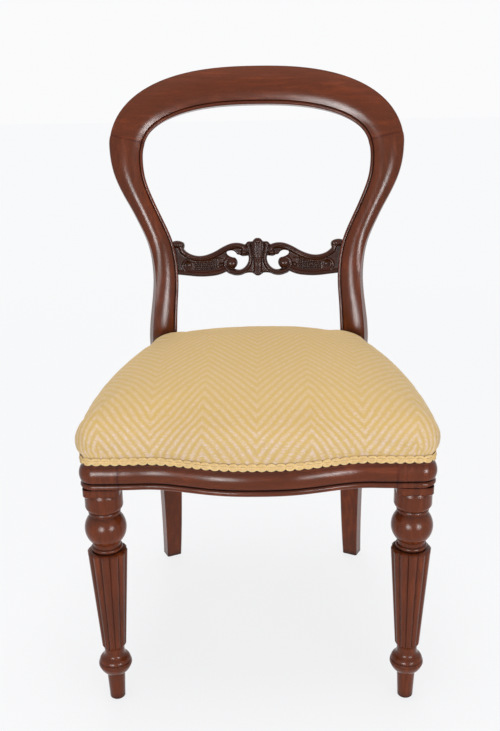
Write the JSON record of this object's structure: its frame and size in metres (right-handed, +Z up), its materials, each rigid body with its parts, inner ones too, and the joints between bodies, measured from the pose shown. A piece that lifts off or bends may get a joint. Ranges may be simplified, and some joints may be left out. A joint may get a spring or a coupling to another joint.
{
  "type": "balloon back chair",
  "caption": "Wooden dining chair with a rounded open back, a carved cross rail, turned and reeded front legs, swept rear legs and an upholstered seat with a braid edge.",
  "frame": {"origin": "on the floor under the middle of the whole chair", "axes": "+Z up, -Y towards the front of the seat, +X to the right as seen from the front"},
  "size_m": [0.4994, 0.5439, 0.88],
  "materials": {
    "mahogany": "polished, dark red-brown",
    "beech": "planed, unpolished",
    "screw_steel": "plain steel",
    "blued_steel": "blued",
    "webbing": "jute strap",
    "hessian": "open plain weave",
    "stuffing": "felted stuffing",
    "herringbone_fabric": "woven gold and cream chevrons",
    "gimp": "scalloped gold braid"
  },
  "bodies": {
    "root": {"crest_rail": "mahogany", "left_stile": "mahogany", "right_stile": "mahogany", "mid_rail": "mahogany", "front_rail": "mahogany", "left_side_rail": "mahogany", "right_side_rail": "mahogany", "back_rail": "mahogany", "left_front_leg": "mahogany", "right_front_leg": "mahogany", "left_front_corner_block": "beech", "right_front_corner_block": "beech", "left_rear_corner_block": "beech", "right_rear_corner_block": "beech", "seat_rail_dowels": "beech", "crest_dowels": "beech", "mid_rail_dowels": "beech", "corner_block_screws": "screw_steel", "webbing_tacks": "blued_steel", "webbing_lengthwise": "webbing", "webbing_crosswise": "webbing", "base_hessian": "hessian", "seat_pad": "stuffing", "seat_cover": "herringbone_fabric", "gimp_braid_front": "gimp", "gimp_braid_back": "gimp"}
  },
  "joints": []
}
